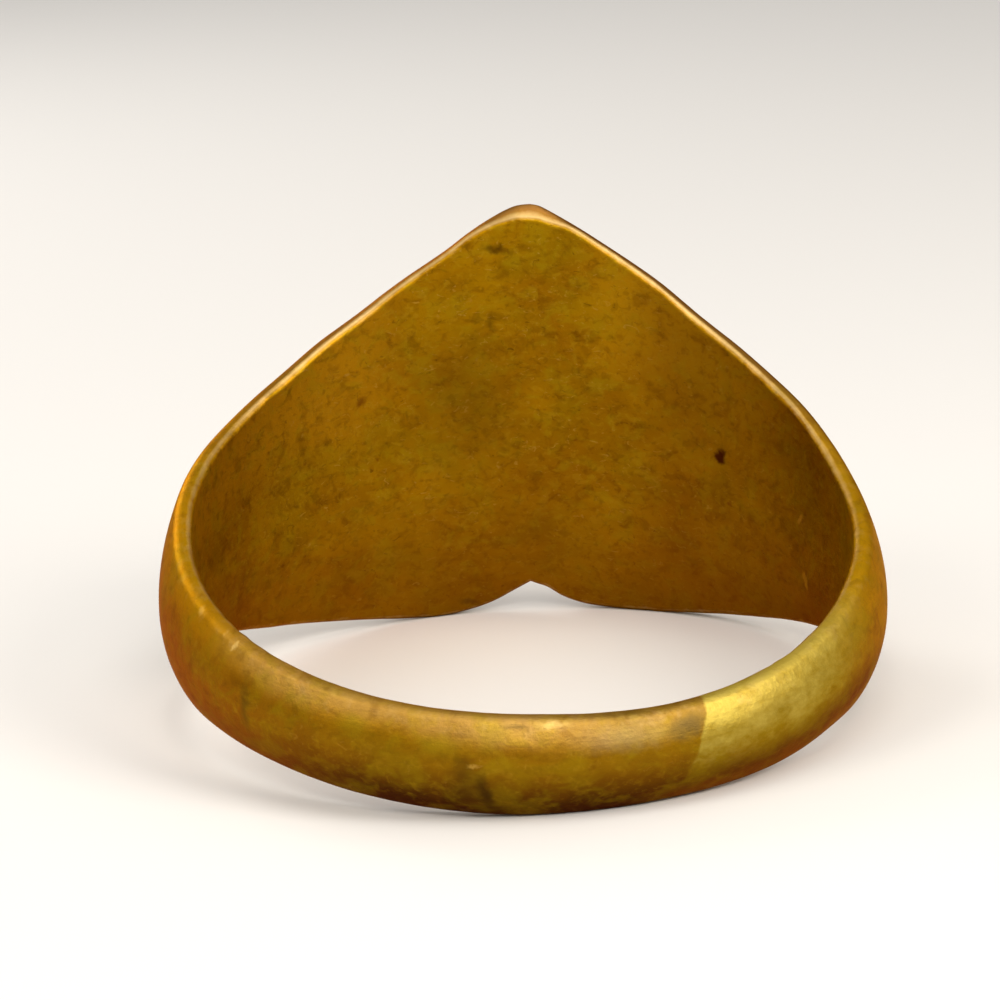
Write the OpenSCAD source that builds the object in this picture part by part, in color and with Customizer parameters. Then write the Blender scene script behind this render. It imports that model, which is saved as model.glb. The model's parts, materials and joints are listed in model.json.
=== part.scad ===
/* [Finger hole] */
// Inside diameter of the band, a large finger's size
bore_d = 19.8; // [18:0.1:21.6]

/* [Band] */
// Thickness at the middle of the shank, where its outer face is fullest
crown_t = 1.08; // [0.9:0.05:1.2]
// Thickness of the shank's upper and lower edges
edge_t = 0.64; // [0.6:0.02:0.8]
// Radius of the shank's two outer corners, worn round
corner_r = 0.36; // [0.2:0.02:0.38]
// Depth of the bevel between the edges and the finger hole
bevel_h = 0.12; // [0.06:0.02:0.2]
// Width of the same bevel across the edge
bevel_w = 0.14; // [0.08:0.02:0.2]

/* [Heart] */
// Thickness at the middle of the heart plate
heart_t = 0.95; // [0.85:0.05:1.2]
// Thickness of the heart plate's edges
heart_edge_t = 0.48; // [0.44:0.02:0.8]
// Radius of the heart plate's outer corners
heart_corner_r = 0.16; // [0.1:0.02:0.2]
// How far the inner side of the rim is rubbed down at the heart's tip
tip_rub_h = 0.3; // [0:0.02:0.36]

/* [Sections] */
// Number of sections in half of the ring, closest together at the heart's notch
half_sections = 80; // [40:4:96]
// Number of flats across the outer face from corner to corner
face_steps = 8; // [4:2:10]
// Number of flats round each outer corner
corner_steps = 3; // [2:1:4]

/* [Hidden] */

bore_r = bore_d / 2;
// Each section lies in a plane through the ring's axis, at an angle from the
// heart's middle, and takes a row of this table. Heights run along the axis
// from the upper edge of the shank's back. Left is the side towards -X. The
// notch and the tip are at 0, the lobes' lowest stretch is at 16 to 24.
ANGLE = 0;
TOP_L = 1;
TOP_R = 2;
LOW_L = 3;
LOW_R = 4;
// ANGLE, TOP_L, TOP_R, LOW_L, LOW_R
SECTIONS = [
    [0, 8.36, 8.36, -4.60, -4.60],
    [1.5, 8.34, 8.31, -4.75, -4.69],
    [3, 8.28, 8.18, -4.90, -4.78],
    [6, 8.02, 7.88, -5.20, -5.08],
    [10, 7.58, 7.47, -5.48, -5.30],
    [16, 6.83, 6.84, -5.67, -5.36],
    [24, 6.00, 6.02, -5.60, -5.26],
    [32, 5.18, 5.14, -5.36, -5.02],
    [40, 4.53, 4.46, -5.07, -4.70],
    [48, 3.89, 3.83, -4.74, -4.36],
    [56, 3.42, 3.30, -4.38, -3.97],
    [65, 2.98, 2.66, -3.90, -3.56],
    [75, 2.60, 2.05, -3.38, -3.20],
    [88, 2.08, 1.60, -3.02, -2.97],
    [102, 1.47, 1.14, -2.80, -2.85],
    [118, 0.92, 0.60, -2.67, -2.73],
    [135, 0.52, 0.15, -2.69, -2.86],
    [155, 0.18, -0.08, -2.84, -2.89],
    [180, 0.02, 0.02, -2.99, -2.99],
];
// The heart's plate thickens into the shank over this stretch of angles
blend_from = 30;
blend_to = 85;
// The rubbed rim of the tip runs out at these angles on its two sides
tip_rub_left = 12;
tip_rub_right = 9;
// How strongly the sections crowd towards the heart's middle
crowding = 1.4;
// The swept form reaches this far into the hole, which is then bored round
stock = 0.05;
bore_h = 40;
bore_fn = 240;

// The ring lies on the two lobes and on the outer edge of the shank's back
rest_left = -17;
rest_right = 22;
rest_back = 170;

function rate(c, i, j) =
    (SECTIONS[j][c] - SECTIONS[i][c]) / (SECTIONS[j][ANGLE] - SECTIONS[i][ANGLE]);

function slope(c, i) =
    i == 0 ? rate(c, 0, 1) : i == len(SECTIONS) - 1 ? 0 : rate(c, i - 1, i + 1);

function row_below(a, i = 0) =
    i >= len(SECTIONS) - 2 || a <= SECTIONS[i + 1][ANGLE] ? i : row_below(a, i + 1);

// A column's value at any angle, on a smooth curve through its rows
function at(c, a) =
    let (
        i = row_below(a),
        h = SECTIONS[i + 1][ANGLE] - SECTIONS[i][ANGLE],
        t = (a - SECTIONS[i][ANGLE]) / h,
        s = 1 - t
    )
    (1 + 2 * t) * s * s * SECTIONS[i][c] + t * s * s * h * slope(c, i)
        + t * t * (3 - 2 * t) * SECTIONS[i + 1][c] - t * t * s * h * slope(c, i + 1);

function ease(x) = let (t = min(max(x, 0), 1)) t * t * (3 - 2 * t);

function blend(a, from, to) = from + (to - from) * ease((a - blend_from) / (blend_to - blend_from));

function rubbed_down(angle) =
    tip_rub_h * (1 - ease(abs(angle) / (angle < 0 ? tip_rub_left : tip_rub_right)));

// The section at an angle, as [radius, height] pairs from the lower inside
// corner, out round the lower edge, up the domed face and in along the top
function section(angle) =
    let (
        a = abs(angle),
        top = at(angle < 0 ? TOP_L : TOP_R, a),
        low = at(angle < 0 ? LOW_L : LOW_R, a),
        inner_top = top - rubbed_down(angle),
        middle = (top + low) / 2,
        half = (top - low) / 2,
        edge = bore_r + blend(a, heart_edge_t, edge_t),
        full = bore_r + blend(a, heart_t, crown_t),
        c = blend(a, heart_corner_r, corner_r),
        lean = atan(2 * (full - edge) / half),
        face_r = edge - c + c * cos(lean),
        face_h = half - c + c * sin(lean),
        corner = [
            for (k = [0:corner_steps])
                let (phi = 90 - (90 - lean) * k / corner_steps)
                [edge - c + c * cos(phi), half - c + c * sin(phi)]
        ]
    )
    [
        [bore_r - stock, low + bevel_h * (1 + stock / bevel_w)],
        [bore_r + bevel_w, low],
        for (k = [0:corner_steps]) [corner[k][0], middle - corner[k][1]],
        for (j = [1:face_steps - 1])
            let (u = 2 * j / face_steps - 1)
            [full - (full - face_r) * u * u, middle + u * face_h],
        for (k = [corner_steps:-1:0]) [corner[k][0], middle + corner[k][1]],
        [bore_r + bevel_w, inner_top],
        [bore_r - stock, inner_top - bevel_h * (1 + stock / bevel_w)],
    ];

function turned(p, angle) = [p[0] * sin(angle), p[0] * cos(angle), p[1]];

function crowded(i) = sign(i) * 180 * pow(abs(i) / half_sections, crowding);

section_angles = [for (i = [1 - half_sections:half_sections]) crowded(i)];
section_points = [for (a = section_angles) for (p = section(a)) turned(p, a)];
per_section = len(section(0));

// The plane through the three places that touch the ground gives the tilt.
// The lobes touch at the inner edge of their rim, the back at the outer one.
function rim(angle, j) = turned(section(angle)[j], angle);
touch_left = rim(rest_left, 1);
touch_right = rim(rest_right, 1);
touch_back = rim(rest_back, 2);
up = cross(touch_right - touch_back, touch_left - touch_back);
turn_x = atan2(up[1], up[2]);
turn_y = -atan2(up[0], norm([up[1], up[2]]));

function tipped(p) =
    let (
        y = p[1] * cos(turn_x) - p[2] * sin(turn_x),
        z = p[1] * sin(turn_x) + p[2] * cos(turn_x)
    )
    [p[0] * cos(turn_y) + z * sin(turn_y), y, z * cos(turn_y) - p[0] * sin(turn_y)];

rest_points = [for (p = section_points) tipped(p)];
function low_of(axis) = min([for (p = rest_points) p[axis]]);
function high_of(axis) = max([for (p = rest_points) p[axis]]);
rest_at = [-(low_of(0) + high_of(0)) / 2, -(low_of(1) + high_of(1)) / 2, -low_of(2)];

module swept_band() {
    count = len(section_angles);
    polyhedron(
        points = section_points,
        faces = [
            for (i = [0:count - 1], j = [0:per_section - 1])
                let (next_i = (i + 1) % count, next_j = (j + 1) % per_section)
                [
                    i * per_section + j,
                    next_i * per_section + j,
                    next_i * per_section + next_j,
                    i * per_section + next_j
                ]
        ],
        convexity = 6
    );
}

// One piece of brass: the heart bent round the finger, tapering into the shank
module ring() {
    color("#a07a1c")
        translate(rest_at)
            rotate([turn_x, turn_y, 0])
                difference() {
                    swept_band();
                    translate([0, 0, -bore_h / 2]) cylinder(r = bore_r, h = bore_h, $fn = bore_fn);
                }
}

ring();
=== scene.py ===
"""A sweetheart ring of aged brass, lying on its side on a pale floor.

The heart is bent round with its tip up and tapers into a narrow shank. Lengths
are millimetres unless a name ends in _m. Places on the ring are given in its
own upright frame: Z runs along the hole, the heart's middle is at +Y, angles
are degrees from there towards +X, and heights are measured from the upper edge
of the shank's back.
"""

import json
import logging
import math
from collections.abc import Mapping
from dataclasses import dataclass, field
from enum import Enum
from typing import Any, NamedTuple

import bmesh
import bpy
from mathutils import Euler, Matrix, Vector, noise


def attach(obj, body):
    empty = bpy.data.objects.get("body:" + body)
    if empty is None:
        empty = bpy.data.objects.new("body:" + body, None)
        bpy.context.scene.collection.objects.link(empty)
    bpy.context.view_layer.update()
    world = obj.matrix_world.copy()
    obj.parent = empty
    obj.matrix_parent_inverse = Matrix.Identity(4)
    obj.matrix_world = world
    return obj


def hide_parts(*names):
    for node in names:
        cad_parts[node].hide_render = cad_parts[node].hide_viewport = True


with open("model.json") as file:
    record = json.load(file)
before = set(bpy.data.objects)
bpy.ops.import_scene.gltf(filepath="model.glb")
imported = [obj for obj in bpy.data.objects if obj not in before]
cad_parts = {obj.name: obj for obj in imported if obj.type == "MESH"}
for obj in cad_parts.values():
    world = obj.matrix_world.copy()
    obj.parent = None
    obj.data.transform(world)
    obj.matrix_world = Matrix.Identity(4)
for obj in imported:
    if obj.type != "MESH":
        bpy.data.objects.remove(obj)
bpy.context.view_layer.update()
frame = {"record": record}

log = logging.getLogger("sweetheart_ring")

MM = 0.001

# The mesh's attributes, which the metal reads
INNER_SIDE = "inner_side"
ACROSS = "across"
EDGE_WEAR = "edge_wear"
# Painted shade on the outer part of the heart's rim
EDGE_PAINTED_SHADE = "edge_soil"

Point = tuple[float, float]
Colour = tuple[float, float, float, float]
Link = bpy.types.Node | bpy.types.NodeSocket


class Side(Enum):
    """The side of the band that a dent, a mark or a zone lies on."""

    INNER = "inner"
    OUTER = "outer"


class SectionRow(NamedTuple):
    """Heights of the band's edges at one angle from the heart's middle."""

    angle: float
    top_left: float
    top_right: float
    low_left: float
    low_right: float


SECTION_ROWS = (
    SectionRow(0, 8.36, 8.36, -4.60, -4.60),
    SectionRow(1.5, 8.34, 8.31, -4.75, -4.69),
    SectionRow(3, 8.28, 8.18, -4.90, -4.78),
    SectionRow(6, 8.02, 7.88, -5.20, -5.08),
    SectionRow(10, 7.58, 7.47, -5.48, -5.30),
    SectionRow(16, 6.83, 6.84, -5.67, -5.36),
    SectionRow(24, 6.00, 6.02, -5.60, -5.26),
    SectionRow(32, 5.18, 5.14, -5.36, -5.02),
    SectionRow(40, 4.53, 4.46, -5.07, -4.70),
    SectionRow(48, 3.89, 3.83, -4.74, -4.36),
    SectionRow(56, 3.42, 3.30, -4.38, -3.97),
    SectionRow(65, 2.98, 2.66, -3.90, -3.56),
    SectionRow(75, 2.60, 2.05, -3.38, -3.20),
    SectionRow(88, 2.08, 1.60, -3.02, -2.97),
    SectionRow(102, 1.47, 1.14, -2.80, -2.85),
    SectionRow(118, 0.92, 0.60, -2.67, -2.73),
    SectionRow(135, 0.52, 0.15, -2.69, -2.86),
    SectionRow(155, 0.18, -0.08, -2.84, -2.89),
    SectionRow(180, 0.02, 0.02, -2.99, -2.99),
)


class Dent(NamedTuple):
    """A shallow knock in the surface."""

    angle: float
    height: float
    side: Side
    along: float
    across: float
    depth: float


# Where the real ring shows marks. The last four, on the heart's outer face, are guessed.
DENTS = (
    Dent(179.5, -0.22, Side.OUTER, 0.42, 0.22, 0.045),
    Dent(-173.6, -1.20, Side.OUTER, 0.30, 0.07, 0.030),
    Dent(134.8, -0.70, Side.OUTER, 0.22, 0.08, 0.030),
    Dent(-129.5, 0.48, Side.OUTER, 0.14, 0.16, 0.035),
    Dent(-112.0, -0.60, Side.OUTER, 0.60, 0.45, 0.020),
    Dent(161.0, -1.90, Side.OUTER, 0.80, 0.40, 0.020),
    Dent(104.0, -0.20, Side.OUTER, 0.50, 0.50, 0.018),
    Dent(38.0, 0.70, Side.INNER, 0.16, 0.20, 0.022),
    Dent(-33.0, 2.32, Side.INNER, 0.35, 0.30, 0.014),
    Dent(-6.1, 6.93, Side.INNER, 0.40, 0.25, 0.012),
    Dent(-14.0, 2.60, Side.OUTER, 0.70, 0.55, 0.022),
    Dent(22.0, -1.80, Side.OUTER, 0.90, 0.60, 0.020),
    Dent(6.0, 5.10, Side.OUTER, 0.35, 0.30, 0.020),
    Dent(-38.0, -1.20, Side.OUTER, 0.45, 0.50, 0.022),
)


class Wave(NamedTuple):
    """Soft unevenness that filing and wear leave in a surface."""

    length: float
    depth: float


WAVES = (Wave(5.0, 0.018), Wave(1.7, 0.008), Wave(0.6, 0.003))


class Waver(NamedTuple):
    """One length of the rim's unevenness, from its own layer of the noise."""

    length: float
    layer: float
    share: float


TOP_WAVERS = (Waver(2.6, 3.0, 1.0), Waver(0.9, 7.0, 0.5))
LOW_WAVERS = (Waver(2.9, 11.0, 1.0), Waver(1.0, 13.0, 0.5))
TOP_BEVEL_WAVERS = (Waver(1.9, 17.0, 1.0), Waver(0.5, 19.0, 0.8))
LOW_BEVEL_WAVERS = (Waver(2.1, 23.0, 1.0),)


class Ridge(NamedTuple):
    """A line round the ring that handling rubs bright."""

    radius: float
    height: float
    reach: float
    most: float


def smooth(value: float, start: float, full: float) -> float:
    """Rises smoothly from 0 to 1.

    Args:
        value: The number to look at.
        start: Where the rise begins.
        full: Where it ends.

    Returns:
        A number from 0 to 1.
    """
    t = min(max((value - start) / (full - start), 0.0), 1.0)
    return t * t * (3 - 2 * t)


def along(start: Point, end: Point, steps: int) -> list[Point]:
    """Divides a straight stretch of an outline.

    Args:
        start: Radius and height where it begins, left out of the result.
        end: Radius and height where it ends.
        steps: The number of parts.

    Returns:
        The points after the start.
    """
    return [
        (start[0] + (end[0] - start[0]) * k / steps, start[1] + (end[1] - start[1]) * k / steps)
        for k in range(1, steps + 1)
    ]


def finish_mesh(bm: bmesh.types.BMesh, name: str) -> bpy.types.Mesh:
    """Turns a mesh being made into a finished one.

    Args:
        bm: The mesh being made, which is freed.
        name: The finished mesh's name.

    Returns:
        The finished mesh.
    """
    mesh = bpy.data.meshes.new(name)
    bm.to_mesh(mesh)
    bm.free()
    return mesh


def add_object(name: str, data: bpy.types.ID) -> bpy.types.Object:
    """Adds an object to the scene.

    Args:
        name: The object's name.
        data: Its mesh, light or camera.

    Returns:
        The object.
    """
    thing = bpy.data.objects.new(name, data)
    bpy.context.scene.collection.objects.link(thing)
    return thing


# Where painted shade darkens the outer part of the heart's rim, from the bevel's crease, the hole
# and the top
SHADE_OVERLAP = 0.03
SHADE_FULL_OUT = 0.26
SHADE_DEPTH = 0.25
SHADE_FULL_DEPTH = 0.05


@dataclass(frozen=True)
class RingPose:
    """How the upright ring lies on the floor, from the mount in its hole."""

    mount_m: Vector
    axis: Vector
    mount_height: float = 1.2

    @classmethod
    def from_record(cls, record: Mapping[str, Any]) -> "RingPose":
        """Reads the hole's place.

        Args:
            record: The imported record.

        Returns:
            The pose of the ring.
        """
        mount = record["mounts"][0]
        return cls(Vector(mount["pos_m"]), Vector(mount["axis"]).normalized())

    @property
    def turn(self) -> Euler:
        """The turn about X and then Y that lays the upright ring down."""
        return Euler((-math.asin(self.axis.y), math.atan2(self.axis.x, self.axis.z), 0.0))

    @property
    def origin_m(self) -> Vector:
        """Where the upright frame's origin comes to lie, in metres."""
        return self.mount_m - self.axis * self.mount_height * MM

    def matrix(self) -> Matrix:
        """Takes the upright frame's millimetres to metres where the ring lies."""
        return (
            Matrix.Translation(self.origin_m)
            @ self.turn.to_matrix().to_4x4()
            @ Matrix.Scale(MM, 4)
        )


@dataclass(frozen=True)
class BandShape:
    """The band's sizes, and its section at any angle."""

    bore_r: float
    crown_t: float = 1.08
    edge_t: float = 0.64
    corner_r: float = 0.36
    bevel_h: float = 0.12
    bevel_w: float = 0.14
    tip_rub_h: float = 0.30
    tip_rub_left: float = 12.0
    tip_rub_right: float = 9.0
    heart_t: float = 0.95
    heart_edge_t: float = 0.48
    heart_corner_r: float = 0.16
    blend_from: float = 30.0
    blend_to: float = 85.0
    edge_waver: float = 0.009
    bevel_waver: float = 0.45
    bevel_w_follows: float = 0.3
    face_steps: int = 18
    corner_steps: int = 6
    flat_steps: int = 2
    bevel_steps: int = 3
    wall_steps: int = 30
    wall_crowding: float = 0.5
    crease_band: float = 0.09

    def column(self, name: str, angle: float) -> float:
        """Follows a column of the section table on a smooth curve.

        Args:
            name: The column.
            angle: Degrees from the heart's middle, 0 to 180.

        Returns:
            The height there.
        """
        rows = SECTION_ROWS
        value = [getattr(row, name) for row in rows]
        last = len(rows) - 1

        def rate(i: int, j: int) -> float:
            """The slope from row i to row j."""
            return (value[j] - value[i]) / (rows[j].angle - rows[i].angle)

        def slope(i: int) -> float:
            """The curve's slope at row i, level at the last one."""
            return 0.0 if i == last else rate(max(i - 1, 0), i + 1)

        i = next(k for k in range(last) if angle <= rows[k + 1].angle)
        h = rows[i + 1].angle - rows[i].angle
        t = (angle - rows[i].angle) / h
        s = 1 - t
        ends = (1 + 2 * t) * s * s * value[i] + t * t * (3 - 2 * t) * value[i + 1]
        return ends + t * s * h * (s * slope(i) - t * slope(i + 1))

    def blend(self, angle: float, heart: float, shank: float) -> float:
        """Changes a size from the heart's value to the shank's."""
        return heart + (shank - heart) * smooth(angle, self.blend_from, self.blend_to)

    def waver(self, angle: float, wavers: tuple[Waver, ...]) -> float:
        """Adds up unevenness that changes along the rim, and closes round it.

        Args:
            angle: Degrees from the heart's middle, negative on the left.
            wavers: What to add up.

        Returns:
            A value from about -1 to 1 for each whole share.
        """
        turn = math.radians(angle)
        rim = Vector((math.sin(turn), math.cos(turn), 0.0)) * self.bore_r
        return sum(
            waver.share * noise.noise(rim / waver.length + Vector((0.0, 0.0, waver.layer)))
            for waver in wavers
        )

    def section(self, angle: float) -> "Section":
        """Works out the section at an angle, with its worn edges.

        Args:
            angle: Degrees from the heart's middle, negative on the left.

        Returns:
            The section.
        """
        a = abs(angle)
        side = "left" if angle < 0 else "right"
        top = self.column(f"top_{side}", a) + self.edge_waver * self.waver(angle, TOP_WAVERS)
        low = self.column(f"low_{side}", a) + self.edge_waver * self.waver(angle, LOW_WAVERS)
        runs_out = self.tip_rub_left if angle < 0 else self.tip_rub_right
        rub = 1 + self.bevel_waver * self.waver(angle, TOP_BEVEL_WAVERS)
        low_rub = 1 + self.bevel_waver * self.waver(angle, LOW_BEVEL_WAVERS)
        return Section(
            bore_r=self.bore_r,
            low=low,
            top=top,
            inner_top=top - self.tip_rub_h * (1 - smooth(a, 0.0, runs_out)),
            edge_r=self.bore_r + self.blend(a, self.heart_edge_t, self.edge_t),
            full_r=self.bore_r + self.blend(a, self.heart_t, self.crown_t),
            corner_r=self.blend(a, self.heart_corner_r, self.corner_r),
            bevel_w=self.bevel_w * (1 - self.bevel_w_follows + self.bevel_w_follows * rub),
            top_bevel_h=self.bevel_h * rub,
            low_bevel_h=self.bevel_h * low_rub,
            shank=self.blend(a, 0.0, 1.0),
        )


@dataclass(frozen=True)
class Section:
    """One section of the band, in a plane through the hole's axis.

    The shank's share runs from 0 on the heart to 1 on the shank.
    """

    bore_r: float
    low: float
    top: float
    inner_top: float
    edge_r: float
    full_r: float
    corner_r: float
    bevel_w: float
    top_bevel_h: float
    low_bevel_h: float
    shank: float

    @property
    def middle(self) -> float:
        """The height halfway between the edges."""
        return (self.top + self.low) / 2

    @property
    def half(self) -> float:
        """Half of the section's height."""
        return (self.top - self.low) / 2

    def between(self, heart: float, shank: float) -> float:
        """The value here, from the heart's and the shank's."""
        return heart + (shank - heart) * self.shank

    def outer_half(self, shape: BandShape) -> list[Point]:
        """The outline from the middle of the outer face round a corner.

        Args:
            shape: The band, for its numbers of steps.

        Returns:
            Pairs of radius and height above the middle.
        """
        c = self.corner_r
        rise = self.full_r - self.edge_r
        lean = math.atan(2 * rise / self.half)
        face_r = self.edge_r - c + c * math.cos(lean)
        face_h = self.half - c + c * math.sin(lean)
        face = [k / shape.face_steps for k in range(shape.face_steps)]
        points = [(self.full_r - (self.full_r - face_r) * u * u, u * face_h) for u in face]
        for k in range(shape.corner_steps + 1):
            phi = lean + (math.pi / 2 - lean) * k / shape.corner_steps
            points.append((self.edge_r - c + c * math.cos(phi), self.half - c + c * math.sin(phi)))
        return points

    def points(self, shape: BandShape) -> list[Point]:
        """The closed outline, from the middle of the outer face over the top and back.

        Args:
            shape: The band, for its numbers of steps.

        Returns:
            Pairs of radius and height.
        """
        outer = self.outer_half(shape)
        flat_r = self.bore_r + self.bevel_w
        corner_r = self.edge_r - self.corner_r
        upper = [(r, self.middle + h) for r, h in outer]
        upper += along((corner_r, self.top), (flat_r, self.inner_top), shape.flat_steps)
        lower = [(r, self.middle - h) for r, h in reversed(outer[1:])]
        high = self.inner_top - self.top_bevel_h
        deep = self.low + self.low_bevel_h
        near, far = high - shape.crease_band, deep + shape.crease_band
        bevel_down = along((flat_r, self.inner_top), (self.bore_r, high), shape.bevel_steps)
        steps = [k / shape.wall_steps for k in range(shape.wall_steps + 1)]
        crowded = [t - shape.wall_crowding * math.sin(math.tau * t) / math.tau for t in steps]
        wall = [(self.bore_r, near + (far - near) * t) for t in crowded]
        bevel_out = along((self.bore_r, deep), (flat_r, self.low), shape.bevel_steps)
        flat = along((flat_r, self.low), (corner_r, self.low), shape.flat_steps)[:-1]
        return upper + bevel_down + wall + [(self.bore_r, deep)] + bevel_out + flat + lower

    def wear(self, radius: float, height: float) -> float:
        """How much a point is rubbed bright by handling.

        Args:
            radius: Distance from the hole's axis.
            height: Height along the axis.

        Returns:
            A share of 1, near 0 in the field of a face.
        """
        corner = self.corner_r * (1 - math.sqrt(0.5))
        corner_r = self.edge_r - corner
        bevel_r = self.bore_r + self.bevel_w / 2
        top_bevel = self.inner_top - self.top_bevel_h / 2
        low_bevel = self.low + self.low_bevel_h / 2
        ridges = (
            # The outer edge of the upper bevel, and its middle
            Ridge(self.bore_r + 0.11, self.inner_top - 0.03, 0.075, self.between(0.82, 0.50)),
            Ridge(bevel_r, top_bevel, 0.09, self.between(0.34, 0.22)),
            # The flat of the rim, on the shank alone
            Ridge(self.bore_r + 0.26, self.inner_top, 0.15, self.between(0.0, 0.14)),
            # The inner edge of the lower bevel, and its middle
            Ridge(self.bore_r, self.low + self.low_bevel_h, 0.05, 0.25),
            Ridge(bevel_r, low_bevel, 0.10, 0.18),
            # The outer corners of the shank, above and below
            Ridge(corner_r, self.top - corner, self.between(0.10, 0.44), self.between(0.0, 0.14)),
            Ridge(corner_r, self.low + corner, self.between(0.06, 0.264), self.between(0.0, 0.12)),
        )
        worn = 0.0
        for ridge in ridges:
            distance = math.hypot(radius - ridge.radius, height - ridge.height)
            worn = max(worn, ridge.most * math.exp(-((distance / ridge.reach) ** 2)))
        return worn

    def soil(self, radius: float, height: float) -> float:
        """How much painted shade darkens the outer part of the heart's rim.

        Args:
            radius: Distance from the hole's axis.
            height: Height along the axis.

        Returns:
            From 0 where no shade is painted to 1.
        """
        crease = self.bore_r + self.bevel_w
        outward = smooth(radius, crease - SHADE_OVERLAP, self.bore_r + SHADE_FULL_OUT)
        near_top = smooth(height, self.inner_top - SHADE_DEPTH, self.inner_top - SHADE_FULL_DEPTH)
        return outward * near_top * (1 - self.shank)


def linear(colour: str) -> Colour:
    """Turns an sRGB hex colour into the linear colour that shaders take.

    Args:
        colour: Six hex digits after a number sign.

    Returns:
        Red, green, blue and an alpha of 1.
    """
    parts = [int(colour[i : i + 2], 16) / 255 for i in (1, 3, 5)]
    turned = [c / 12.92 if c <= 0.04045 else ((c + 0.055) / 1.055) ** 2.4 for c in parts]
    return turned[0], turned[1], turned[2], 1.0


@dataclass(frozen=True)
class Nodes:
    """The node tree of a material or of the world."""

    tree: bpy.types.NodeTree

    @classmethod
    def of(cls, owner: bpy.types.ID) -> "Nodes":
        """Empties the tree of a material or of the world.

        Args:
            owner: The material or the world.

        Returns:
            Its nodes.
        """
        owner.use_nodes = True
        owner.node_tree.nodes.clear()
        return cls(owner.node_tree)

    def add(
        self, kind: str, inputs: Mapping[str | int, Any] | None = None, **settings: Any
    ) -> bpy.types.Node:
        """Adds a node with its settings and links.

        Args:
            kind: The node's type name.
            inputs: For each input, by name or number, its value or what to link: a
                socket, or a node for its first output.
            **settings: The node's own settings.

        Returns:
            The new node.
        """
        node = self.tree.nodes.new(kind)
        for name, value in settings.items():
            setattr(node, name, value)
        for key, value in (inputs or {}).items():
            if isinstance(value, bpy.types.Node):
                value = value.outputs[0]
            if isinstance(value, bpy.types.NodeSocket):
                self.tree.links.new(value, node.inputs[key])
            else:
                node.inputs[key].default_value = value
        return node


# Sockets of a colour Mix node, whose inputs share their names between data types
MIX_FACTOR = 0
MIX_A = 6
MIX_B = 7
MIX_RESULT = 2

# Layers whose share is read again, for the roughness and the relief
DARK_FLECKS = "dark flecks"
CLEAN_PATCH = "clean patch"
RUBBED = "rubbed rims"

# How the edges of marks and zones are broken up, and how deep a mark reaches
SHAKE_SIZE = 2 / 7
SHAKE = 0.36
ZONE_RAGGED_SIZE = 1.3
MARK_OUTER_T = 0.9
MARK_THICKNESS = 0.7

ALL_ROUND = 180.0


class Layer(NamedTuple):
    """A colour laid over those before it, as far as its masks multiplied allow."""

    name: str
    colour: Link | Colour
    masks: tuple[Link, ...]


@dataclass(frozen=True)
class Surface(Nodes):
    """The nodes of the ring's metal, and what its patterns read.

    Places are in the upright ring's millimetres, and the shaken one gives ragged
    edges. The inner and the outer side run from 0 to 1, and across runs from -1
    at the band's lower edge to 1 at its upper one.
    """

    bore_r: float
    place: Link
    shaken: Link
    inner: Link
    outer: Link
    across: Link
    wear: Link
    # How much painted shade lies on the outer part of the heart's rim
    soil: Link

    @classmethod
    def read(cls, material: bpy.types.Material, pose: RingPose, bore_r: float) -> "Surface":
        """Adds the nodes that read the ring's place and its attributes.

        Args:
            material: The material to make.
            pose: How the ring lies.
            bore_r: The hole's radius.

        Returns:
            The surface.
        """
        nodes = Nodes.of(material)
        coordinates = nodes.add("ShaderNodeTexCoord")
        place = nodes.add(
            "ShaderNodeMapping",
            {
                "Vector": coordinates.outputs["Object"],
                "Location": pose.origin_m,
                "Rotation": pose.turn,
                "Scale": (MM, MM, MM),
            },
            vector_type="TEXTURE",
        )
        shake = nodes.add(
            "ShaderNodeTexNoise", {"Vector": place, "Scale": 1 / SHAKE_SIZE, "Detail": 3.0}
        )
        shaken = nodes.add(
            "ShaderNodeVectorMath",
            {0: shake.outputs["Color"], 1: (SHAKE,) * 3, 2: place},
            operation="MULTIPLY_ADD",
        )
        centred = nodes.add(
            "ShaderNodeVectorMath", {0: shaken, 1: (SHAKE / 2,) * 3}, operation="SUBTRACT"
        )
        inner, across, wear, soil = (
            nodes.add("ShaderNodeAttribute", attribute_name=name).outputs["Fac"]
            for name in (INNER_SIDE, ACROSS, EDGE_WEAR, EDGE_PAINTED_SHADE)
        )
        outer = nodes.add("ShaderNodeMapRange", {"Value": inner, "To Min": 1.0, "To Max": 0.0})
        return cls(nodes.tree, bore_r, place, centred, inner, outer, across, wear, soil)

    def on_side(self, side: Side) -> Link:
        """How far a point belongs to one side of the band."""
        return self.inner if side is Side.INNER else self.outer


@dataclass(frozen=True)
class Tint:
    """A colour that shows in patches of one size, in its own strength on each side."""

    name: str
    colour: str
    patch: Point
    start: float
    full: float
    inside: float
    outside: float
    shift: float = 0.0
    curl: float = 0.0
    detail: float = 3.0

    def layer(self, on: Surface) -> Layer:
        """Adds the tint's clouds.

        Args:
            on: The surface.

        Returns:
            The tint's layer.
        """
        long, short = self.patch
        stretched = on.add(
            "ShaderNodeMapping",
            {
                "Vector": on.place,
                "Location": (self.shift,) * 3,
                "Scale": (1 / long, 1 / long, 1 / short),
            },
        )
        cloud = on.add(
            "ShaderNodeTexNoise",
            {
                "Vector": stretched,
                "Scale": 1.0,
                "Detail": self.detail,
                "Roughness": 0.55,
                "Distortion": self.curl,
            },
        )
        amount = on.add(
            "ShaderNodeMapRange",
            {"Value": cloud, "From Min": self.start, "From Max": self.full},
            interpolation_type="SMOOTHSTEP",
        )
        strength = on.add(
            "ShaderNodeMapRange", {"Value": on.inner, "To Min": self.outside, "To Max": self.inside}
        )
        return Layer(self.name, linear(self.colour), (amount, strength))


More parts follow.
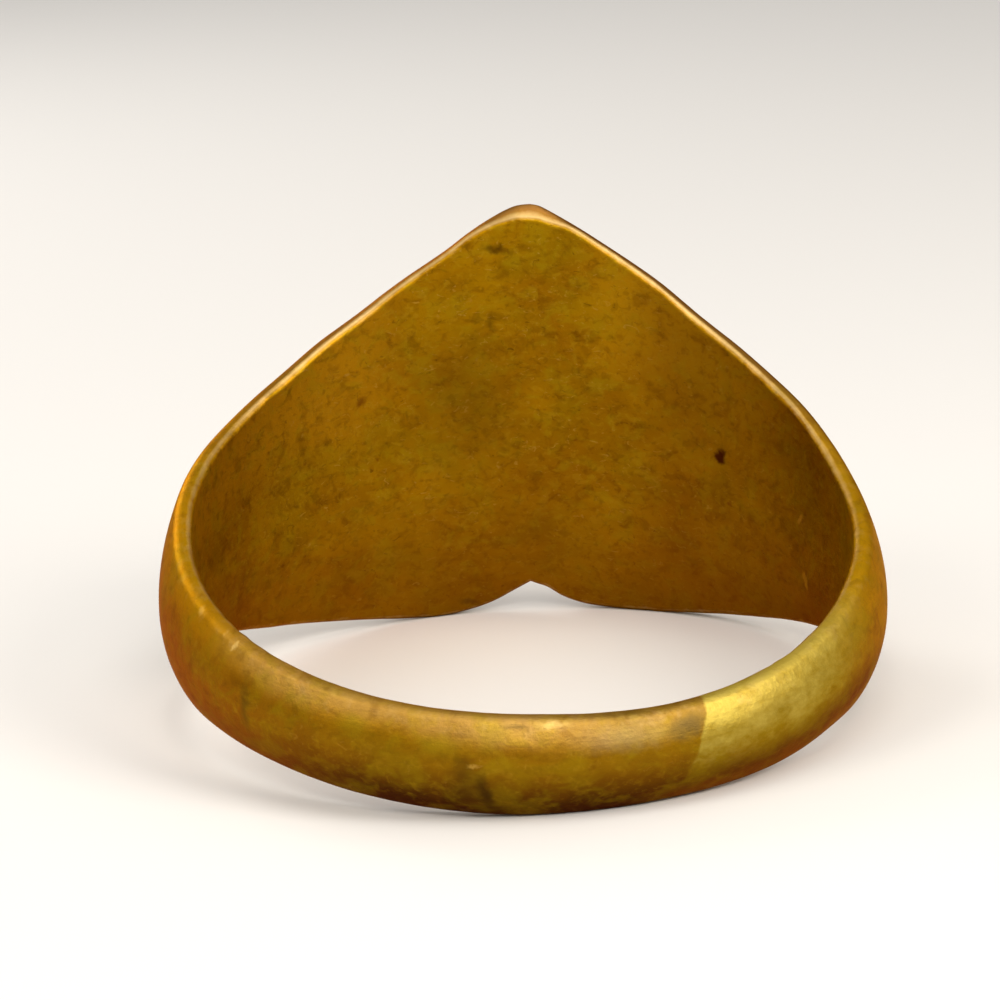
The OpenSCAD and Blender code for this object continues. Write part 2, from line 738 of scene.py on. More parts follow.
@dataclass(frozen=True)
class Zone:
    """A colour that deepens from one height of a side to another, raggedly.

    Heights are shares of the band's half height, from -1 at the lower edge to
    1 at the upper one, so a start and end below -1 tint the whole height.
    """

    name: str
    colour: str
    side: Side
    start: float
    full: float
    strength: float
    ragged: float
    centre: float = 0.0
    reach: float = ALL_ROUND

    def layer(self, on: Surface) -> Layer:
        """Adds the zone's ragged border, and its ends where it has them.

        Args:
            on: The surface.

        Returns:
            The zone's layer.
        """
        ragged = on.add(
            "ShaderNodeTexNoise", {"Vector": on.place, "Scale": 1 / ZONE_RAGGED_SIZE, "Detail": 4.0}
        )
        raised = on.add(
            "ShaderNodeMath", {0: ragged, 1: self.ragged, 2: on.across}, operation="MULTIPLY_ADD"
        )
        depth = on.add(
            "ShaderNodeMapRange",
            {
                "Value": raised,
                "From Min": self.start + self.ragged / 2,
                "From Max": self.full + self.ragged / 2,
                "To Max": self.strength,
            },
            interpolation_type="SMOOTHSTEP",
        )
        masks = [depth, on.on_side(self.side)]
        if self.reach < ALL_ROUND:
            masks.append(self.stretch(on))
        return Layer(self.name, linear(self.colour), tuple(masks))

    def stretch(self, on: Surface) -> Link:
        """Keeps the zone to its stretch of the ring, and fades it out at the ends.

        Args:
            on: The surface.

        Returns:
            From 0 outside the stretch to 1 in the middle half of it.
        """
        flat = on.add(
            "ShaderNodeVectorMath", {0: on.place, 1: (1.0, 1.0, 0.0)}, operation="MULTIPLY"
        )
        outward = on.add("ShaderNodeVectorMath", {0: flat}, operation="NORMALIZE")
        centre = math.radians(self.centre)
        towards = on.add(
            "ShaderNodeVectorMath",
            {0: outward, 1: (math.sin(centre), math.cos(centre), 0.0)},
            operation="DOT_PRODUCT",
        )
        return on.add(
            "ShaderNodeMapRange",
            {
                "Value": towards.outputs["Value"],
                "From Min": math.cos(math.radians(self.reach)),
                "From Max": math.cos(math.radians(self.reach / 2)),
            },
            interpolation_type="SMOOTHSTEP",
        )


@dataclass(frozen=True)
class Mark:
    """A stain or a bright rub at one place, with a ragged edge."""

    name: str
    angle: float
    height: float
    side: Side
    along: float
    across: float
    lean: float
    colour: str
    strength: float
    softness: float

    def layer(self, on: Surface) -> Layer:
        """Adds the soft spot.

        Args:
            on: The surface.

        Returns:
            The mark's layer.
        """
        turn = math.radians(self.angle)
        radius = on.bore_r + (0.0 if self.side is Side.INNER else MARK_OUTER_T)
        local = on.add(
            "ShaderNodeMapping",
            {
                "Vector": on.shaken,
                "Location": (radius * math.sin(turn), radius * math.cos(turn), self.height),
                "Rotation": (0.0, math.radians(self.lean), -turn),
                "Scale": (self.along / 2, MARK_THICKNESS, self.across / 2),
            },
            vector_type="TEXTURE",
        )
        ball = on.add("ShaderNodeTexGradient", {"Vector": local}, gradient_type="SPHERICAL")
        share = on.add(
            "ShaderNodeMapRange",
            {"Value": ball.outputs["Fac"], "From Max": self.softness, "To Max": self.strength},
            interpolation_type="SMOOTHSTEP",
        )
        return Layer(self.name, linear(self.colour), (share,))


@dataclass(frozen=True)
class CleanPatch:
    """The cleaner stretch of the shank, brushed almost back to yellow metal.

    It is crisp at its seam and fades at its other end, and olive is left in
    streaks and low down. Angles are degrees round the ring.
    """

    seam: Point = (149.85, 149.35)
    fade: Point = (106.0, 128.0)
    lower_border: Point = (-0.70, 0.30)
    strength: float = 0.84
    lean_per_mm: float = 2.5
    ragged: float = 1.6
    ragged_size: float = 0.6
    colour: str = "#c0aa4c"
    olive: str = "#8e7208"
    streak: Point = (0.6, 0.35)
    olive_range: Point = (0.14, 0.60)
    olive_strength: float = 0.94
    olive_drop: float = -0.36

    def layer(self, on: Surface) -> Layer:
        """Adds the patch's borders and its colour.

        Args:
            on: The surface.

        Returns:
            The patch's layer.
        """
        parts = on.add("ShaderNodeSeparateXYZ", {"Vector": on.place})
        ragged = on.add(
            "ShaderNodeTexNoise", {"Vector": on.place, "Scale": 1 / self.ragged_size, "Detail": 4.0}
        )
        angle = on.add(
            "ShaderNodeMath", {0: parts.outputs["X"], 1: parts.outputs["Y"]}, operation="ARCTAN2"
        )
        for link, degrees in ((parts.outputs["Z"], self.lean_per_mm), (ragged, self.ragged)):
            angle = on.add(
                "ShaderNodeMath",
                {0: link, 1: math.radians(degrees), 2: angle},
                operation="MULTIPLY_ADD",
            )
        seam, fade = ([math.radians(end) for end in ends] for ends in (self.seam, self.fade))
        masks = [on.outer]
        for value, ends, most, easing in (
            (angle, seam, 1.0, "LINEAR"),
            (angle, fade, self.strength, "SMOOTHSTEP"),
            (on.across, self.lower_border, 1.0, "SMOOTHSTEP"),
        ):
            mask = on.add(
                "ShaderNodeMapRange",
                {"Value": value, "From Min": ends[0], "From Max": ends[1], "To Max": most},
                interpolation_type=easing,
            )
            masks.append(mask)
        return Layer(CLEAN_PATCH, self.brushed(on), tuple(masks))

    def brushed(self, on: Surface) -> Link:
        """The colour of the cleaner metal, with the olive that brushing left.

        Args:
            on: The surface.

        Returns:
            The colour.
        """
        long, short = self.streak
        drawn = on.add(
            "ShaderNodeMapping", {"Vector": on.place, "Scale": (1 / long, 1 / long, 1 / short)}
        )
        streaks = on.add(
            "ShaderNodeTexNoise", {"Vector": drawn, "Scale": 1.0, "Detail": 4.0, "Roughness": 0.6}
        )
        lower = on.add(
            "ShaderNodeMath",
            {0: on.across, 1: self.olive_drop, 2: streaks},
            operation="MULTIPLY_ADD",
        )
        start, full = self.olive_range
        olive = on.add(
            "ShaderNodeMapRange",
            {"Value": lower, "From Min": start, "From Max": full, "To Max": self.olive_strength},
        )
        mixed = on.add(
            "ShaderNodeMix",
            {MIX_FACTOR: olive, MIX_A: linear(self.colour), MIX_B: linear(self.olive)},
            data_type="RGBA",
        )
        return mixed.outputs[MIX_RESULT]


@dataclass(frozen=True)
class AgedBrass:
    """Yellow brass with a worn satin finish under a brown and olive tarnish.

    The thin oxide leaves the metal's sheen but takes its brightness, so the
    hollows are olive brown and only the rubbed rims are still pale yellow.
    Shade is painted on the outer part of the heart's rim, on the right of its
    inner face and under the shank, with a warm reflection low on the shank's right
    and a paler sheen where the highlight runs along its top. Patch sizes are
    millimetres along and across the ring.
    """

    pose: RingPose
    bore_r: float
    ground: str = "#ab7b03"
    rubbed: str = "#cfac70"
    # The colour of the painted shade on the outer part of the heart's rim
    rim_shade_colour: str = "#8a5f2a"
    glancing: str = "#c28c1e"
    patch: CleanPatch = CleanPatch()
    metallic: float = 1.0
    film: Point = (0.02, 0.05)
    film_rough: float = 0.42
    rough_field: float = 0.50
    rough_fleck: float = 0.65
    rough_rubbed: float = 0.48
    rough_clean: float = 0.49
    rub_patch: float = 0.45
    rub_break: float = 0.70
    rub_range: Point = (0.48, 1.22)
    grain: float = 0.12
    grain_share: float = 0.20
    pit: float = 0.35
    pit_share: float = 0.70
    scratch: Point = (1.4, 0.09)
    scratch_share: float = 0.18
    fleck_share: float = -0.35
    relief: float = 0.030
    clouds: tuple[Tint, ...] = (
        Tint("brown clouds", "#7f5002", (2.8, 2.2), 0.40, 0.64, 0.46, 0.40, 3.0),
        Tint("olive clouds", "#8b7604", (2.4, 2.0), 0.44, 0.66, 0.32, 0.40, 11.0),
        Tint("orange warmth", "#a86203", (3.6, 2.4), 0.46, 0.66, 0.14, 0.34, 23.0),
        Tint("soft streaks", "#7a5204", (1.9, 0.45), 0.48, 0.66, 0.15, 0.35, 29.0),
    )
    zones_under_mottles: tuple[Zone, ...] = (
        Zone("gold below the right rim", "#c28f0e", Side.INNER, 0.10, 0.80, 0.56, 0.4, 32, 25),
        Zone("gold below the left rim", "#c28c10", Side.INNER, -0.05, 0.72, 0.80, 0.4, -58, 38),
        Zone("brown behind the heart", "#7c5a10", Side.OUTER, -3.0, -2.0, 0.55, 0.5, 0, 85),
        Zone("gold on the right", "#c4920a", Side.OUTER, -0.45, 0.10, 0.80, 0.4, 100, 55),
        Zone("gold at the left edge", "#bd8803", Side.OUTER, 0.15, 0.70, 0.70, 0.4, -95, 50),
        Zone("orange on the left", "#a9640a", Side.OUTER, 1.0, 0.1, 0.78, 0.4, -112, 44),
        # A paler, greyer sheen is painted along the top of the shank's front and left side, where
        # the highlight falls
        Zone("haze over the front", "#86703f", Side.OUTER, 0.30, 0.90, 0.50, 0.4, 162, 31),
        Zone("haze on the left", "#b08a48", Side.OUTER, 0.45, 0.95, 0.62, 0.4, -159, 40),
        # Painted shade: darker from below the sheen down to the underside of the shank's front
        Zone("brown below the haze", "#7e5606", Side.OUTER, 0.75, 0.35, 0.60, 0.4, 175, 90),
        Zone("brown under the shank", "#6a4002", Side.OUTER, 0.30, -0.25, 0.76, 0.5, 165, 72),
        Zone("dark under the shank", "#422402", Side.OUTER, -0.05, -0.75, 0.86, 0.5, 172, 48),
        # A warm reflection is painted low on the right of the shank
        Zone("copper low on the right", "#ac7016", Side.OUTER, -0.35, -0.85, 0.55, 0.5, 130, 34),
    )
    mottles: tuple[Tint, ...] = (
        Tint("olive patches", "#947c08", (1.5, 1.1), 0.50, 0.66, 0.0, 0.36, 37.0, 0.4),
        Tint("olive mottle", "#a68b10", (0.75, 0.55), 0.48, 0.68, 0.40, 0.22, 31.0, 0.6),
        Tint("brown mottle", "#6d4302", (0.62, 0.48), 0.50, 0.70, 0.42, 0.32, 43.0, 0.6),
        Tint("fine light mottle", "#b8901c", (0.32, 0.25), 0.51, 0.68, 0.32, 0.14, 47.0, 0.8),
        Tint("fine dark mottle", "#5b3801", (0.30, 0.23), 0.51, 0.69, 0.28, 0.14, 57.0, 0.8),
        Tint("light flecks", "#c79c3c", (0.28, 0.16), 0.60, 0.76, 0.50, 0.16, 53.0, 1.0),
        Tint(DARK_FLECKS, "#4c2d02", (0.25, 0.16), 0.63, 0.78, 0.50, 0.20, 61.0, 1.0),
        Tint("red oxide", "#6d2c0a", (0.60, 0.45), 0.69, 0.80, 0.50, 0.0, 71.0),
    )
    zones_over_mottles: tuple[Zone, ...] = (
        Zone("brown inside low", "#6e3601", Side.INNER, 0.1, -1.0, 0.60, 0.5),
        # Painted shade on the right of the heart's inner face, which faces away from the light on
        # the right
        Zone("red brown on the right", "#6c3602", Side.INNER, -3.0, -2.0, 0.32, 0.5, 44, 30),
    )

    def build(self, name: str, marks: tuple[Mark, ...]) -> bpy.types.Material:
        """Makes the material.

        Args:
            name: The material's name.
            marks: The stains and rubs to lay on it.

        Returns:
            The finished material.
        """
        material = bpy.data.materials.new(name)
        on = Surface.read(material, self.pose, self.bore_r)
        patterns = (
            *self.clouds,
            *self.zones_under_mottles,
            *self.mottles,
            *self.zones_over_mottles,
            *marks,
            self.patch,
        )
        layers = [pattern.layer(on) for pattern in patterns]
        # The outer part of the heart's rim is darkened with painted shade
        layers.append(Layer("soil", linear(self.rim_shade_colour), (on.soil,)))
        layers.append(Layer(RUBBED, linear(self.rubbed), (self.rubbing(on),)))
        colour, shares = self.laid(on, layers)
        shader = on.add(
            "ShaderNodeBsdfPrincipled",
            {
                "Base Color": colour,
                "Metallic": self.metallic,
                "Specular Tint": linear(self.glancing),
                "Coat Weight": self.oil_film(on),
                "Coat Roughness": self.film_rough,
                "Roughness": self.roughness(on, shares),
                "Normal": self.bump(on, shares[DARK_FLECKS]),
            },
        )
        on.add("ShaderNodeOutputMaterial", {"Surface": shader})
        return material

    def laid(self, on: Surface, layers: list[Layer]) -> tuple[Link | Colour, dict[str, Link]]:
        """Lays the layers over the ground, the first ones lowest.

        Args:
            on: The surface.
            layers: The layers.

        Returns:
            The colour, and how far each layer shows, by its name.
        """
        colour: Link | Colour = linear(self.ground)
        shares: dict[str, Link] = {}
        for layer in layers:
            share, *others = layer.masks
            for mask in others:
                share = on.add("ShaderNodeMath", {0: share, 1: mask}, operation="MULTIPLY")
            shares[layer.name] = share
            colour = on.add(
                "ShaderNodeMix",
                {MIX_FACTOR: share, MIX_A: colour, MIX_B: layer.colour},
                data_type="RGBA",
                label=layer.name,
            ).outputs[MIX_RESULT]
        return colour, shares

    def oil_film(self, on: Surface) -> Link:
        """How much of a thin greasy film there is, mostly on the outside.

        Args:
            on: The surface.

        Returns:
            The film's share.
        """
        inside, outside = self.film
        return on.add(
            "ShaderNodeMapRange", {"Value": on.inner, "To Min": outside, "To Max": inside}
        )

    def rubbing(self, on: Surface) -> Link:
        """How far the rims are rubbed bright, broken up as wear is.

        Args:
            on: The surface.

        Returns:
            The amount, from 0 to 1.
        """
        broken = on.add(
            "ShaderNodeTexNoise",
            {"Vector": on.place, "Scale": 1 / self.rub_patch, "Detail": 4.0, "Roughness": 0.65},
        )
        lifted = on.add(
            "ShaderNodeMath", {0: broken, 1: self.rub_break, 2: on.wear}, operation="MULTIPLY_ADD"
        )
        start, full = self.rub_range
        return on.add("ShaderNodeMapRange", {"Value": lifted, "From Min": start, "From Max": full})

    def roughness(self, on: Surface, shares: Mapping[str, Link]) -> Link:
        """Dull in the tarnish, smoother where the metal is rubbed or clean.

        Args:
            on: The surface.
            shares: How far each layer shows.

        Returns:
            The roughness.
        """
        value = on.add(
            "ShaderNodeMapRange",
            {"Value": shares[DARK_FLECKS], "To Min": self.rough_field, "To Max": self.rough_fleck},
        )
        for name, rough in ((CLEAN_PATCH, self.rough_clean), (RUBBED, self.rough_rubbed)):
            value = on.add(
                "ShaderNodeMix", {0: shares[name], 2: value, 3: rough}, data_type="FLOAT"
            )
        return value

    def bump(self, on: Surface, flecks: Link) -> Link:
        """Fine grain, shallow pits and short scratches that run round the ring.

        Args:
            on: The surface.
            flecks: How much dark fleck there is, which lies a little lower.

        Returns:
            The bent normal.
        """
        long, short = self.scratch
        drawn = on.add(
            "ShaderNodeMapping", {"Vector": on.place, "Scale": (1 / long, 1 / long, 1 / short)}
        )
        grain, pits, scratches = (
            on.add(
                "ShaderNodeTexNoise",
                {"Vector": vector, "Scale": scale, "Detail": detail, "Roughness": rough},
            )
            for vector, scale, detail, rough in (
                (on.place, 1 / self.grain, 3.0, 0.6),
                (on.place, 1 / self.pit, 4.0, 0.6),
                (drawn, 1.0, 2.0, 0.5),
            )
        )
        height: Link | float = 0.0
        for link, share in (
            (grain, self.grain_share),
            (pits, self.pit_share),
            (scratches, self.scratch_share),
            (flecks, self.fleck_share),
        ):
            height = on.add(
                "ShaderNodeMath", {0: link, 1: share, 2: height}, operation="MULTIPLY_ADD"
            )
        return on.add(
            "ShaderNodeBump", {"Height": height, "Strength": 1.0, "Distance": self.relief * MM}
        )


# Places were read off the real ring's surface. The inner side shows on the
# heart, the outer side on the shank.
MARKS = (
    Mark("dark red spot", 38.0, 0.72, Side.INNER, 0.56, 0.70, 25, "#3e1002", 0.95, 0.6),
    Mark("smudge at the tip", -6.1, 6.95, Side.INNER, 1.20, 0.50, 10, "#4a2c04", 0.75, 0.9),
    Mark("smudge below the tip", -7.4, 4.45, Side.INNER, 0.40, 0.90, 0, "#574106", 0.5, 0.8),
    Mark("reddish spot", -33.0, 2.32, Side.INNER, 0.60, 0.50, 0, "#6b3208", 0.65, 0.8),
    Mark("smudge at the notch", -11.6, -5.2, Side.INNER, 1.00, 0.40, 0, "#54320a", 0.6, 0.8),
    Mark("dull area", -12.0, 1.7, Side.INNER, 5.60, 7.60, 0, "#5c3902", 0.42, 1.0),
    Mark("light tick", 59.8, -0.27, Side.INNER, 0.22, 0.60, 35, "#c08a2c", 0.6, 0.6),
    Mark("light tick low", 62.1, -2.17, Side.INNER, 0.25, 0.70, -30, "#b98228", 0.55, 0.6),
    Mark("grey smudge", -134.9, -0.95, Side.OUTER, 0.60, 2.20, 4, "#5d4a14", 0.62, 1.0),
    Mark("green patch", -168.5, -0.70, Side.OUTER, 1.60, 1.00, 0, "#9a8412", 0.45, 0.9),
    Mark("green patch left", -155.1, -0.45, Side.OUTER, 1.50, 0.90, 0, "#978212", 0.4, 0.9),
    Mark("dark stain", -173.6, -1.95, Side.OUTER, 2.10, 1.90, 0, "#4c3005", 0.60, 0.9),
    Mark("dark dot", -172.8, -1.30, Side.OUTER, 1.00, 1.20, 0, "#4a3206", 0.62, 1.0),
    Mark("dark streak", -175.9, -2.05, Side.OUTER, 0.62, 2.40, 16, "#382204", 0.82, 1.0),
    Mark("bright nick", -174.2, -1.20, Side.OUTER, 0.62, 0.14, 4, "#cfa446", 0.50, 0.8),
    Mark("grey mark", 179.9, -0.15, Side.OUTER, 1.10, 0.28, 0, "#6f5a2a", 0.6, 0.8),
    Mark("bright rub", 174.0, -0.12, Side.OUTER, 1.50, 0.34, 0, "#eccf80", 0.50, 1.0),
    # A greyer sheen is painted here, where the highlight falls on the shank's front
    Mark("grey haze", 163.0, -0.55, Side.OUTER, 4.40, 1.10, 0, "#a38a5c", 0.45, 0.9),
    Mark("grey patch", 152.8, -0.48, Side.OUTER, 2.10, 1.10, 10, "#6a5428", 0.92, 0.85),
    Mark("bright nick left", -129.5, 0.50, Side.OUTER, 0.30, 0.42, 0, "#f0cb78", 0.8, 0.7),
    Mark("left rim tick", -118.0, 0.86, Side.OUTER, 0.40, 0.50, 20, "#dcb260", 0.62, 0.7),
    Mark("left rim tick lower", -126.0, 0.74, Side.OUTER, 0.26, 0.46, 10, "#e2ba68", 0.62, 0.7),
    Mark("left rim rub", -145.5, 0.34, Side.OUTER, 0.44, 0.34, 0, "#d2aa58", 0.55, 0.8),
    Mark("left rim rub lower", -150.5, 0.22, Side.OUTER, 0.60, 0.30, 0, "#d2aa58", 0.50, 0.8),
    Mark("dark seat", 148.1, -1.87, Side.OUTER, 1.20, 0.60, 0, "#6a4a06", 0.6, 0.9),
    Mark("green dot", -101.7, 1.70, Side.OUTER, 0.30, 0.30, 0, "#4d5210", 0.7, 0.6),
)


@dataclass
class HeartRing:
    """The whole ring: a heart plate that tapers into the shank."""

    shape: BandShape
    pose: RingPose
    steps: int = 720
    crease_offset: float = 0.035
    crease_segments: int = 3
    crease_angle: float = math.radians(18)
    inner_waves: float = 0.45
    dent_outer_t: float = 0.95
    dent_thickness: float = 0.6
    dent_cut_off: float = 6.0
    inner_fade: Point = (0.03, 0.10)
    marks: tuple[Mark, ...] = MARKS
    sections: dict[int, Section] = field(default_factory=dict)

    def build(self, name: str) -> bpy.types.Object:
        """Makes the ring's mesh and dresses it.

        Args:
            name: The piece's name.

        Returns:
            The ring, where it lies.
        """
        self.sections = {k: self.shape.section(self.step_angle(k)) for k in range(self.steps)}
        bm = bmesh.new()
        self.spin_blank(bm)
        self.draw_out(bm)
        self.ease_creases(bm)
        self.leave_uneven(bm)
        self.note_wear(bm)
        bmesh.ops.transform(bm, matrix=self.pose.matrix(), verts=bm.verts[:])
        bmesh.ops.recalc_face_normals(bm, faces=bm.faces[:])
        mesh = finish_mesh(bm, name)
        mesh.shade_smooth()
        brass = AgedBrass(self.pose, self.shape.bore_r)
        mesh.materials.append(brass.build("aged_brass", self.marks))
        return add_object(name, mesh)

    def step_angle(self, step: int) -> float:
        """The signed angle of a step round the ring, in degrees."""
        angle = step * 360.0 / self.steps
        return angle - 360.0 if angle > 180.0 else angle

    def step_at(self, place: Vector) -> int:
        """The nearest step round the ring."""
        turn = math.atan2(place.x, place.y) / math.tau
        return round(turn * self.steps) % self.steps

    def spin_blank(self, bm: bmesh.types.BMesh) -> None:
        """Spins a plain round blank, with one vertex for each point of a section.

        Args:
            bm: The mesh to fill.
        """
        count = len(self.sections[0].points(self.shape))
        bmesh.ops.create_circle(bm, cap_ends=False, segments=count, radius=1.0)
        first_up = Matrix.Rotation(math.radians(-90), 3, "Z")
        upright = Matrix.Rotation(math.radians(90), 3, "X")
        across = Matrix.Rotation(math.radians(90), 3, "Z")
        turned = across @ upright @ first_up
        bmesh.ops.rotate(bm, verts=bm.verts[:], cent=(0, 0, 0), matrix=turned)
        bmesh.ops.translate(bm, verts=bm.verts[:], vec=(0, self.shape.bore_r, 0))
        bmesh.ops.spin(
            bm,
            geom=bm.verts[:] + bm.edges[:],
            cent=(0, 0, 0),
            axis=(0, 0, 1),
            angle=math.tau,
            steps=self.steps,
            use_merge=True,
            use_duplicate=False,
        )
        bmesh.ops.recalc_face_normals(bm, faces=bm.faces[:])

    def draw_out(self, bm: bmesh.types.BMesh) -> None:
        """Draws each vertex of the blank out to its place in the section there.

        Args:
            bm: The blank.
        """
        outlines = {k: s.points(self.shape) for k, s in self.sections.items()}
        count = len(outlines[0])
        for vert in bm.verts:
            step = self.step_at(vert.co)
            radial = math.hypot(vert.co.x, vert.co.y) - self.shape.bore_r
            station = round(math.atan2(vert.co.z, radial) / math.tau * count) % count
            radius, height = outlines[step][station]
            turn = math.radians(self.step_angle(step))
            vert.co = (radius * math.sin(turn), radius * math.cos(turn), height)

    def ease_creases(self, bm: bmesh.types.BMesh) -> None:
        """Rounds the four creases of the bevels a little, as wear does.

        Args:
            bm: The band.
        """
        creases = [
            edge
            for edge in bm.edges
            if edge.calc_face_angle(0.0) > self.crease_angle
            and self.step_at(edge.verts[0].co) != self.step_at(edge.verts[1].co)
        ]
        bmesh.ops.bevel(
            bm,
            geom=creases,
            offset=self.crease_offset,
            offset_type="OFFSET",
            segments=self.crease_segments,
            profile=0.5,
            affect="EDGES",
            clamp_overlap=True,
            material=-1,
        )

    def leave_uneven(self, bm: bmesh.types.BMesh) -> None:
        """Gives the surface the soft waves and the knocks of a hand-finished ring.

        Args:
            bm: The band.
        """
        bm.normal_update()
        knocks = [
            (
                Matrix.Rotation(math.radians(dent.angle), 3, "Z"),
                self.shape.bore_r + (0.0 if dent.side is Side.INNER else self.dent_outer_t),
                dent,
            )
            for dent in DENTS
        ]
        for vert in bm.verts:
            inward = vert.normal.x * vert.co.x + vert.normal.y * vert.co.y < 0
            share = self.inner_waves if inward else 1.0
            offset = 0.0
            for wave in WAVES:
                offset += share * wave.depth * noise.noise(vert.co / wave.length)
            for turn, radius, dent in knocks:
                if (dent.side is Side.INNER) != inward:
                    continue
                local = turn @ vert.co
                reach = (
                    (local.x / dent.along) ** 2
                    + ((local.z - dent.height) / dent.across) ** 2
                    + ((local.y - radius) / self.dent_thickness) ** 2
                )
                if reach < self.dent_cut_off:
                    offset -= dent.depth * math.exp(-reach)
            vert.co += vert.normal * offset

    def note_wear(self, bm: bmesh.types.BMesh) -> None:
        """Writes down how worn each vertex is, how much painted shade its rim takes, and where it
        lies in its section.

        Args:
            bm: The band.
        """
        edge_wear = bm.verts.layers.float.new(EDGE_WEAR)
        across = bm.verts.layers.float.new(ACROSS)
        edge_soil = bm.verts.layers.float.new(EDGE_PAINTED_SHADE)
        inner_side = bm.verts.layers.float.new(INNER_SIDE)
        start, full = (self.shape.bore_r + depth for depth in self.inner_fade)
        for vert in bm.verts:
            section = self.sections[self.step_at(vert.co)]
            radius = math.hypot(vert.co.x, vert.co.y)
            vert[edge_wear] = section.wear(radius, vert.co.z)
            vert[edge_soil] = section.soil(radius, vert.co.z)
            vert[across] = (vert.co.z - section.middle) / section.half
            vert[inner_side] = 1 - smooth(radius, start, full)


class Lamp(NamedTuple):
    """A round soft light, with its place and size in metres."""

    name: str
    place_m: tuple[float, float, float]
    size_m: float
    watts: float
    colour: str


LAMPS = (
    Lamp("key", (0.020, -0.120, 0.108), 0.070, 0.092, "#fffaf2"),
    Lamp("top", (0.030, -0.030, 0.165), 0.110, 0.072, "#fffcf8"),
    Lamp("right", (0.130, -0.080, 0.108), 0.090, 0.15, "#fff8ee"),
    Lamp("left", (-0.125, -0.075, 0.130), 0.090, 0.085, "#fff8ee"),
    Lamp("back", (-0.105, 0.115, 0.085), 0.080, 0.09, "#fffcf8"),
)


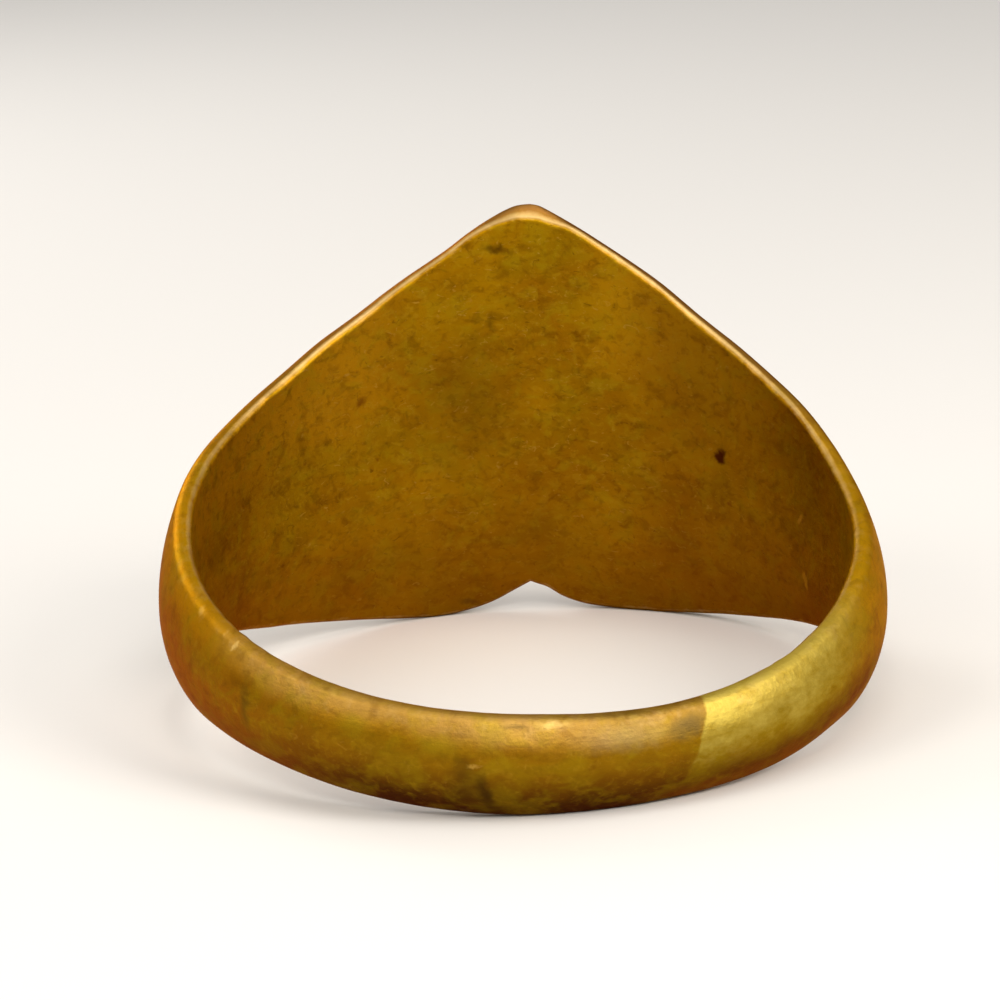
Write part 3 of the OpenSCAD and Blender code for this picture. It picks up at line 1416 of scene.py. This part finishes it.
@dataclass(frozen=True)
class Studio:
    """A pale floor, soft lights and the camera."""

    pose: RingPose
    bore_r: float
    floor_r_m: float = 0.9
    floor_sides: int = 96
    floor_colour: str = "#dedbd7"
    floor_sheen: float = 0.1
    horizon_colour: str = "#dedbd6"
    zenith_colour: str = "#ffffff"
    zenith_from: float = 0.8
    world_light: float = 0.60
    lamps: tuple[Lamp, ...] = LAMPS
    lit_height_m: float = 0.006
    elevation: float = 23.16
    bearing: float = 1.48
    roll: float = -0.16
    distance_in_bores: float = 12.0
    focal_px: float = 3937.0
    ring_px: Point = (522.8, 572.5)
    picture_px: float = 1000.0
    sensor: float = 36.0
    clip_m: Point = (0.01, 10.0)

    def build(self) -> None:
        """Makes the floor, the lights, the world and the camera."""
        self.make_floor()
        self.make_world()
        self.make_lights()
        self.make_camera()

    def make_floor(self) -> None:
        """Lays a wide matt floor under the ring."""
        bm = bmesh.new()
        bmesh.ops.create_circle(
            bm, cap_ends=True, segments=self.floor_sides, radius=self.floor_r_m
        )
        mesh = finish_mesh(bm, "floor")
        # Matt paper shows soft shadows and hardly a highlight
        paper = bpy.data.materials.new("matt_paper")
        nodes = Nodes.of(paper)
        shader = nodes.add(
            "ShaderNodeBsdfPrincipled",
            {
                "Base Color": linear(self.floor_colour),
                "Roughness": 1.0,
                "Specular IOR Level": self.floor_sheen,
            },
        )
        nodes.add("ShaderNodeOutputMaterial", {"Surface": shader})
        mesh.materials.append(paper)
        floor = add_object("floor", mesh)

    def make_world(self) -> None:
        """Fills the room with soft light that is dimmer near the horizon."""
        world = bpy.data.worlds.new("soft_room")
        bpy.context.scene.world = world
        nodes = Nodes.of(world)
        coordinates = nodes.add("ShaderNodeTexCoord")
        parts = nodes.add("ShaderNodeSeparateXYZ", {"Vector": coordinates.outputs["Generated"]})
        height = nodes.add(
            "ShaderNodeMapRange", {"Value": parts.outputs["Z"], "From Max": self.zenith_from}
        )
        sky = nodes.add(
            "ShaderNodeMix",
            {
                MIX_FACTOR: height,
                MIX_A: linear(self.horizon_colour),
                MIX_B: linear(self.zenith_colour),
            },
            data_type="RGBA",
        )
        background = nodes.add(
            "ShaderNodeBackground", {"Color": sky.outputs[MIX_RESULT], "Strength": self.world_light}
        )
        nodes.add("ShaderNodeOutputWorld", {"Surface": background})

    def make_lights(self) -> None:
        """Hangs soft lights above and all round, the strongest on the right."""
        aim = Vector((0.0, 0.0, self.lit_height_m))
        for lamp in self.lamps:
            light = bpy.data.lights.new(lamp.name, "AREA")
            light.shape = "DISK"
            light.size = lamp.size_m
            light.energy = lamp.watts
            light.color = linear(lamp.colour)[:3]
            hung = add_object(lamp.name, light)
            hung.location = lamp.place_m
            towards = aim - Vector(lamp.place_m)
            hung.rotation_euler = towards.to_track_quat("-Z", "Y").to_euler()

    def make_camera(self) -> None:
        """Looks at the ring from the photograph's side, from above the floor."""
        e, b, r = (math.radians(v) for v in (self.elevation, self.bearing, self.roll))
        away = Vector((math.sin(b) * math.cos(e), -math.cos(b) * math.cos(e), math.sin(e)))
        level = (-away).cross(Vector((0, 0, 1))).normalized()
        upward = level.cross(-away)
        right = math.cos(r) * level + math.sin(r) * upward
        up = math.cos(r) * upward - math.sin(r) * level
        half = self.picture_px / 2
        aim = (
            -away * self.focal_px
            + right * (half - self.ring_px[0])
            + up * (self.ring_px[1] - half)
        ).normalized()
        right = (right - aim * right.dot(aim)).normalized()
        up = right.cross(aim)
        turn = self.pose.turn.to_matrix() @ Matrix((right, up, -aim)).transposed()
        lens = bpy.data.cameras.new("camera")
        lens.sensor_width = self.sensor
        lens.lens = self.sensor * self.focal_px / self.picture_px
        lens.clip_start, lens.clip_end = self.clip_m
        camera = add_object("camera", lens)
        spot = self.pose.matrix() @ (away * self.distance_in_bores * self.bore_r)
        camera.matrix_world = Matrix.Translation(spot) @ turn.to_4x4()
        bpy.context.scene.camera = camera


def main() -> None:
    """Builds the ring and the studio, and reports each piece."""
    logging.basicConfig(level=logging.INFO, format="%(message)s")
    record = frame["record"]
    pose = RingPose.from_record(record)
    bore_r = record["mounts"][0]["dims"]["r_mm"]
    bpy.context.scene.view_settings.view_transform = "Standard"
    Studio(pose, bore_r).build()
    log.info("studio: floor, world, lights and camera")
    ring = HeartRing(BandShape(bore_r), pose).build("heart_ring")
    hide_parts("ring")
    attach(ring, "root")
    mesh = ring.data
    log.info("%s: %d vertices, %d faces", ring.name, len(mesh.vertices), len(mesh.polygons))


if __name__ == "__main__":
    main()
